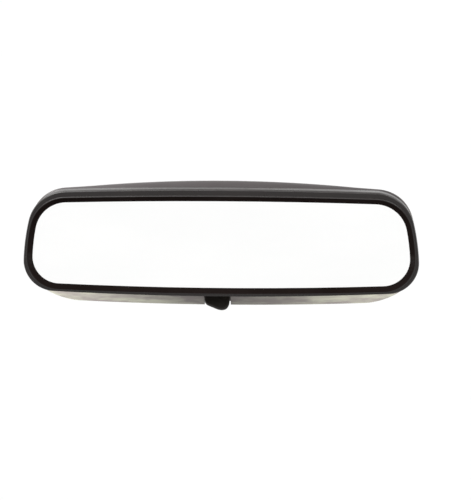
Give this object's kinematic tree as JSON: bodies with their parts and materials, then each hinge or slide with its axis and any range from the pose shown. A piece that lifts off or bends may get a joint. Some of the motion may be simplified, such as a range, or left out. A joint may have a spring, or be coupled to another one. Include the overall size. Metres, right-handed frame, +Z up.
{
  "type": "interior rearview mirror",
  "caption": "Wide car rearview mirror in a thin rounded frame, with a day and night tilt lever, on a ball arm that slides onto a windscreen button.",
  "frame": {"origin": "centre of the adhesive pad's glass face, where the mount meets the windscreen", "axes": "+X to the right of someone facing the mirror, +Y away from them towards the windscreen, +Z up; the mirror's face looks along -Y"},
  "size_m": [0.2508, 0.0994, 0.0826],
  "materials": {
    "bezel_black": "fine grained satin black ABS",
    "shell_charcoal": "fine grained dark grey ABS",
    "lever_black": "satin black acetal",
    "mirror_glass": "silvered soda-lime glass wedge",
    "foam_black": "closed-cell foam",
    "rubber_black": "matt moulded rubber",
    "nylon_natural": "natural nylon",
    "spring_steel": "blued spring steel",
    "zinc_cast": "as-cast zinc alloy",
    "black_cast": "black powder coat on zinc casting",
    "steel_plated": "zinc-plated steel",
    "bronze_bush": "sintered bronze",
    "button_steel": "sintered steel",
    "adhesive": "acrylic foam pad"
  },
  "bodies": {
    "button": {"windscreen_button": "button_steel", "adhesive_pad": "adhesive"},
    "arm": {"mount_arm": "black_cast", "ball_stud": "steel_plated", "set_screw": "spring_steel"},
    "seat": {"ball_seat": "nylon_natural"},
    "cup": {"spring_cup": "spring_steel"},
    "bracket": {"tilt_bracket": "zinc_cast", "socket_retainer": "zinc_cast", "retainer_screws": "steel_plated", "hinge_bushes": "bronze_bush", "fork_shoe": "nylon_natural"},
    "head": {"rear_housing": "shell_charcoal", "front_bezel": "bezel_black", "mirror_glass": "mirror_glass", "glass_cushion": "foam_black", "opening_grommet": "rubber_black", "hinge_pin": "steel_plated", "hinge_clips": "spring_steel", "lever_pivot_pin": "steel_plated", "pivot_clips": "spring_steel", "toggle_spring": "spring_steel", "spring_screws": "steel_plated"},
    "lever": {"day_night_lever": "lever_black", "crank_pin": "steel_plated"}
  },
  "joints": [
    {"name": "mount_slide", "type": "slide", "parent": "button", "child": "arm", "axis": [0, -0.8192, 0.5736], "range_m": [0, 0.034]},
    {"name": "head_yaw", "type": "hinge", "parent": "arm", "child": "seat", "pos_m": [0, -0.0575, -0.017], "axis": [0, 0, 1], "range_deg": [-25, 25]},
    {"name": "head_pitch", "type": "hinge", "parent": "seat", "child": "cup", "pos_m": [0, -0.0575, -0.017], "axis": [1, 0, 0], "range_deg": [-18, 18]},
    {"name": "head_roll", "type": "hinge", "parent": "cup", "child": "bracket", "pos_m": [0, -0.0575, -0.017], "axis": [0, 1, 0], "range_deg": [-10, 10]},
    {"name": "head_dip", "type": "hinge", "parent": "bracket", "child": "head", "pos_m": [0, -0.067, 0.007], "axis": [1, 0, 0], "range_deg": [0, 4.3]},
    {"name": "lever_flip", "type": "hinge", "parent": "head", "child": "lever", "pos_m": [-0.0025, -0.063, -0.046], "axis": [1, 0, 0], "range_deg": [0, 46], "deforming": ["toggle_spring"]}
  ],
  "couplings": [
    {"joint": "lever_flip", "follows": "head_dip", "ratio": 10.698}
  ]
}
